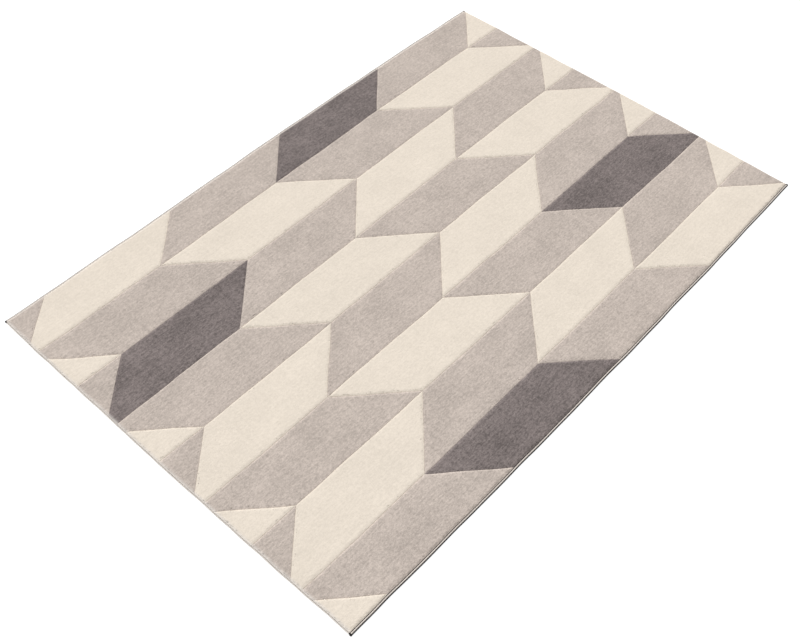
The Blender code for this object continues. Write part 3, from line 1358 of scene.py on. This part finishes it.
@dataclass
class EndEdge:
    """One short end: tape folded round the weave and stitched down in two rows."""

    end: str
    sign: float
    lay: Lay
    stations: int = 220
    gap: float = 0.3 * MM
    round_edge: float = 0.7 * MM
    sharpest: float = math.radians(50)
    stitch_from_edge: float = 1.5 * MM
    stitch_from_hem: float = 3.0 * MM
    stitch_from_corner: float = 5.0 * MM

    def tape(self) -> bpy.types.Object:
        """Make the folded tape.

        Returns:
            The piece.
        """
        low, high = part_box("end_binding_" + self.end)
        ground_low, ground_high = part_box("ground_weave")
        pile_low, pile_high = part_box("pile_d6" if self.sign < 0 else "pile_d1")
        hem, outer = sorted((abs(low.y), abs(high.y)))
        lip = (abs(pile_low.y) if self.sign < 0 else pile_high.y) + self.gap
        inner = max(abs(ground_low.y), abs(ground_high.y)) + self.gap
        soft, top = self.round_edge, high.z
        over, under = ground_high.z + self.gap, ground_low.z - self.gap
        outline = [
            (hem, 0.0), (outer - soft, 0.0), (outer - 0.3 * soft, 0.3 * soft), (outer, soft),
            (outer, top - 1.4 * soft), (outer - 0.45 * soft, top - 0.45 * soft),
            (outer - 1.6 * soft, top), (lip + 0.4 * MM, top - 0.15 * MM), (lip, top - 0.5 * MM),
            (lip, over), (inner, over), (inner, under), (hem, under),
        ]
        section = [(0.0, self.sign * y, z) for y, z in outline]
        shape = swept(section, Vector((low.x, 0, 0)), Vector((high.x - low.x, 0, 0)), self.stations)
        made = to_object(
            f"end_tape_{self.end}", shape, TAPE_CLOTH.material(),
            ["end_binding_" + self.end], False,
        )
        made.data.shade_smooth()
        made.data.set_sharp_from_angle(angle=self.sharpest)
        points = points_of(made.data)
        ripple = np.sin(points[:, 0] * 310) * 0.12 * MM + np.sin(points[:, 0] * 97 + 1) * 0.1 * MM
        points[:, 1] += self.sign * ripple * (np.abs(points[:, 1]) > lip)
        return settled(made, self.lay, points)

    def stitches(self) -> bpy.types.Object:
        """Make the two rows of stitches that hold the tape, on its top and its underside.

        Returns:
            The piece.
        """
        low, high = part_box("end_binding_" + self.end)
        hem, outer = sorted((abs(low.y), abs(high.y)))
        hem += self.stitch_from_hem
        outer -= self.stitch_from_edge
        shape = bmesh.new()
        for y, z in ((outer, high.z), (hem, low.z)):
            start = Vector((low.x + self.stitch_from_corner, self.sign * y, z))
            end = Vector((high.x - self.stitch_from_corner, self.sign * y, z))
            StitchRow(start, end).add_to(shape)
        made = to_object(
            f"end_stitches_{self.end}", shape, STITCH_YARN.material(), []
        )
        points = points_of(made.data)
        points[:, 2] = np.maximum(points[:, 2], -0.15 * MM)
        return settled(made, self.lay, points)

    def build(self) -> list[bpy.types.Object]:
        """Make the end's pieces."""
        return [self.tape(), self.stitches()]


# ---- Studio ----


@dataclass(frozen=True)
class Viewpoint:
    """Where the camera stands and how it is turned."""

    place: tuple[float, float, float] = (1.5425, -1.8710, 2.6589)
    heading: float = math.radians(41.024)
    dip: float = math.radians(51.557)
    roll: float = math.radians(1.443)
    lens: float = 47.126

    def build(self) -> bpy.types.Object:
        """Make the scene's camera.

        Returns:
            The camera.
        """
        data = bpy.data.cameras.new("camera")
        data.lens = self.lens
        data.sensor_width = 36.0
        data.clip_start, data.clip_end = 0.05, 60.0
        made = bpy.data.objects.new("camera", data)
        bpy.context.scene.collection.objects.link(made)
        forward = Vector(
            (
                -math.sin(self.heading) * math.cos(self.dip),
                math.cos(self.heading) * math.cos(self.dip),
                -math.sin(self.dip),
            )
        )
        level = Vector((math.cos(self.heading), math.sin(self.heading), 0.0))
        upward = level.cross(forward)
        right = level * math.cos(self.roll) + upward * math.sin(self.roll)
        upright = -level * math.sin(self.roll) + upward * math.cos(self.roll)
        turn = Matrix((right, upright, -forward)).transposed().to_4x4()
        made.matrix_world = Matrix.Translation(self.place) @ turn
        bpy.context.scene.camera = made
        return made


@dataclass(frozen=True)
class Studio:
    """A plain pale floor, a soft sky and one broad key light."""

    floor_half: float = 20.0
    floor_drop: float = 0.2 * MM
    floor_glow: float = 0.78
    sky: float = 0.62
    key: float = 2.1
    key_heading: float = math.radians(150)
    key_height: float = math.radians(42)
    key_softness: float = math.radians(18)

    def build(self) -> None:
        """Make the floor and the lights."""
        scene = bpy.context.scene
        scene.view_settings.view_transform = "Standard"
        scene.view_settings.look = "None"
        shape = bmesh.new()
        bmesh.ops.create_grid(shape, x_segments=1, y_segments=1, size=self.floor_half)
        bmesh.ops.translate(shape, verts=shape.verts, vec=(0, 0, -self.floor_drop))
        mesh = bpy.data.meshes.new("floor")
        shape.to_mesh(mesh)
        shape.free()
        bench = Bench("floor_paint")
        grain = bench.noise((3.0, 3.0, 3.0), 1.0, 0.5)
        paint = bench.finish(
            Base_Color=bench.mix(grain, (0.49, 0.49, 0.49), (0.51, 0.51, 0.51)),
            Roughness=0.9,
            Specular_IOR_Level=0.0,
            Emission_Color=(1.0, 1.0, 1.0, 1.0),
            Emission_Strength=self.floor_glow,
        )
        mesh.materials.append(paint)
        floor = bpy.data.objects.new("floor", mesh)
        scene.collection.objects.link(floor)
        floor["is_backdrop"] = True

        world = bpy.data.worlds.new("sky")
        world.use_nodes = True
        backdrop = world.node_tree.nodes["Background"]
        backdrop.inputs["Color"].default_value = (1.0, 1.0, 1.0, 1.0)
        backdrop.inputs["Strength"].default_value = self.sky
        scene.world = world

        sun = bpy.data.lights.new("key", "SUN")
        sun.energy = self.key
        sun.angle = self.key_softness
        lamp = bpy.data.objects.new("key", sun)
        scene.collection.objects.link(lamp)
        towards = Vector(
            (
                math.cos(self.key_heading) * math.cos(self.key_height),
                math.sin(self.key_heading) * math.cos(self.key_height),
                math.sin(self.key_height),
            )
        )
        lamp.rotation_mode = "QUATERNION"
        lamp.rotation_quaternion = towards.to_track_quat("Z", "Y")


def main() -> None:
    """Build the rug, piece by piece, then the studio round it."""
    logging.basicConfig(level=logging.INFO, format="%(name)s: %(message)s")
    cad_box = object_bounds()
    lay = Lay(cad_box[1][0], cad_box[1][1])
    pieces = Pile(lay).build()
    backing = Backing(lay)
    ground = backing.ground()
    pieces += [backing.coat(), backing.label(), backing.label_stitches()]
    pieces += SideEdge("left", -1.0, lay, crease_shade_height=4.7 * MM).build()
    pieces += SideEdge("right", 1.0, lay).build()
    for end, sign in (("near", -1.0), ("far", 1.0)):
        pieces += EndEdge(end, sign, lay).build()
    for piece in [ground, *pieces]:
        piece.data.calc_loop_triangles()
        LOG.info("%s: %d triangles", piece.name, len(piece.data.loop_triangles))
    Viewpoint().build()
    Studio().build()
    bpy.context.view_layer.update()


if __name__ == "__main__":
    main()
